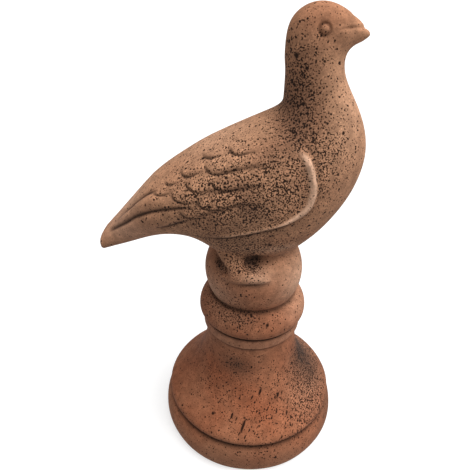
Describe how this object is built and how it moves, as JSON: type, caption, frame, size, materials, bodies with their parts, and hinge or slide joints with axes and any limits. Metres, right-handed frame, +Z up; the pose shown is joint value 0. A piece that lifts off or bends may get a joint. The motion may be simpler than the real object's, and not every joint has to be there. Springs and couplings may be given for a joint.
{
  "type": "roof finial",
  "caption": "Terracotta roof finial: a dove with folded wings perched on a ball and ring, over a bell-shaped turned foot that stands on its flat underside.",
  "frame": {"origin": "centre of the flat underside of the foot, on the axis of the turned stem", "axes": "+Z up along the stem's axis, +X the way the dove faces, +Y towards the dove's left side"},
  "size_m": [0.211, 0.1678, 0.3777],
  "materials": {
    "terracotta": null
  },
  "bodies": {
    "root": {"finial": "terracotta"}
  },
  "joints": []
}
